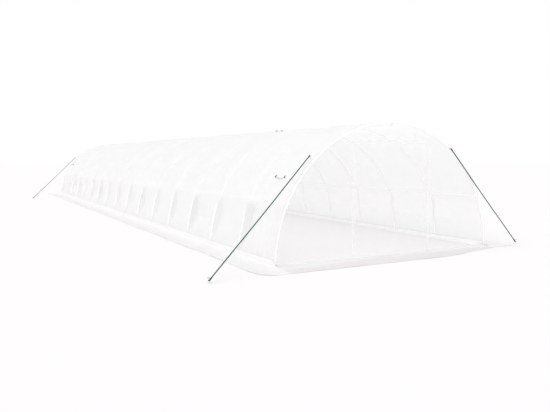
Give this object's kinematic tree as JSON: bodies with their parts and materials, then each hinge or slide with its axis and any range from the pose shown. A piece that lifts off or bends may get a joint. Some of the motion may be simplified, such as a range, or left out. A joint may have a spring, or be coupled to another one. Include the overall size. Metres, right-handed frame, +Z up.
{
  "type": "tunnel greenhouse tent",
  "caption": "Long half-round walk-in greenhouse tunnel: tube arches and rails under a white film cover, zipped door flap at each end, ground skirt and guy ropes.",
  "frame": {"origin": "on the ground, in the middle of the tent", "axes": "+Y along the tunnel from the front end to the rear end, +Z up, +X to the right seen from the front"},
  "size_m": [6.729, 18.71, 1.9915],
  "materials": {
    "coated_steel": "white powder-coated steel tube",
    "cover_film": "translucent woven film, satin",
    "clear_film": "nearly clear film, glossy",
    "skirt_film": "translucent woven film, creased",
    "zip_tape": "white moulded zip chain",
    "zip_metal": "bright zinc alloy",
    "webbing": "white woven webbing",
    "grey_webbing": "dark grey woven webbing",
    "green_rope": "dark green braided rope",
    "zinc_steel": "zinc-plated steel rod"
  },
  "bodies": {
    "tent": {"arch_00": "coated_steel", "arch_01": "coated_steel", "arch_02": "coated_steel", "arch_03": "coated_steel", "arch_04": "coated_steel", "arch_05": "coated_steel", "arch_06": "coated_steel", "arch_07": "coated_steel", "arch_08": "coated_steel", "arch_09": "coated_steel", "arch_10": "coated_steel", "arch_11": "coated_steel", "arch_12": "coated_steel", "arch_13": "coated_steel", "arch_14": "coated_steel", "arch_15": "coated_steel", "arch_16": "coated_steel", "ridge_bar": "coated_steel", "side_bar_left": "coated_steel", "side_bar_right": "coated_steel", "base_rail_left": "coated_steel", "base_rail_right": "coated_steel", "front_sill_bar": "coated_steel", "rear_sill_bar": "coated_steel", "cover_film": "cover_film", "skirt_left": "skirt_film", "skirt_right": "skirt_film", "skirt_front": "skirt_film", "skirt_rear": "skirt_film", "front_end_panel": "clear_film", "rear_end_panel": "clear_film", "front_zip_left": "zip_tape", "front_door_tie_left": "webbing", "front_zip_right": "zip_tape", "front_door_tie_right": "webbing", "rear_zip_left": "zip_tape", "rear_door_tie_left": "webbing", "rear_zip_right": "zip_tape", "rear_door_tie_right": "webbing", "shoulder_strap_front": "grey_webbing", "shoulder_strap_rear": "grey_webbing", "ridge_strap": "grey_webbing", "guy_loop_front_left": "grey_webbing", "guy_rope_front_left": "green_rope", "stake_front_left": "zinc_steel", "guy_loop_front_right": "grey_webbing", "guy_rope_front_right": "green_rope", "stake_front_right": "zinc_steel", "guy_loop_rear_left": "grey_webbing", "guy_rope_rear_left": "green_rope", "stake_rear_left": "zinc_steel", "guy_loop_rear_right": "grey_webbing", "guy_rope_rear_right": "green_rope", "stake_rear_right": "zinc_steel"},
    "front_door": {"front_door": "clear_film"},
    "rear_door": {"rear_door": "clear_film"},
    "front_slider_left": {"front_zip_slider_left": "zip_metal"},
    "front_slider_right": {"front_zip_slider_right": "zip_metal"},
    "rear_slider_left": {"rear_zip_slider_left": "zip_metal"},
    "rear_slider_right": {"rear_zip_slider_right": "zip_metal"}
  },
  "joints": [
    {"name": "front_door_swing", "type": "hinge", "parent": "tent", "child": "front_door", "pos_m": [0, -9.0171, 1.715], "axis": [-1, 0, 0], "range_deg": [0, 100]},
    {"name": "rear_door_swing", "type": "hinge", "parent": "tent", "child": "rear_door", "pos_m": [0, 9.0171, 1.715], "axis": [1, 0, 0], "range_deg": [0, 100]},
    {"name": "front_zip_left_slide", "type": "slide", "parent": "tent", "child": "front_slider_left", "axis": [0, 0, 1], "range_m": [0, 1.6]},
    {"name": "front_zip_right_slide", "type": "slide", "parent": "tent", "child": "front_slider_right", "axis": [0, 0, 1], "range_m": [0, 1.6]},
    {"name": "rear_zip_left_slide", "type": "slide", "parent": "tent", "child": "rear_slider_left", "axis": [0, 0, 1], "range_m": [0, 1.6]},
    {"name": "rear_zip_right_slide", "type": "slide", "parent": "tent", "child": "rear_slider_right", "axis": [0, 0, 1], "range_m": [0, 1.6]}
  ]
}
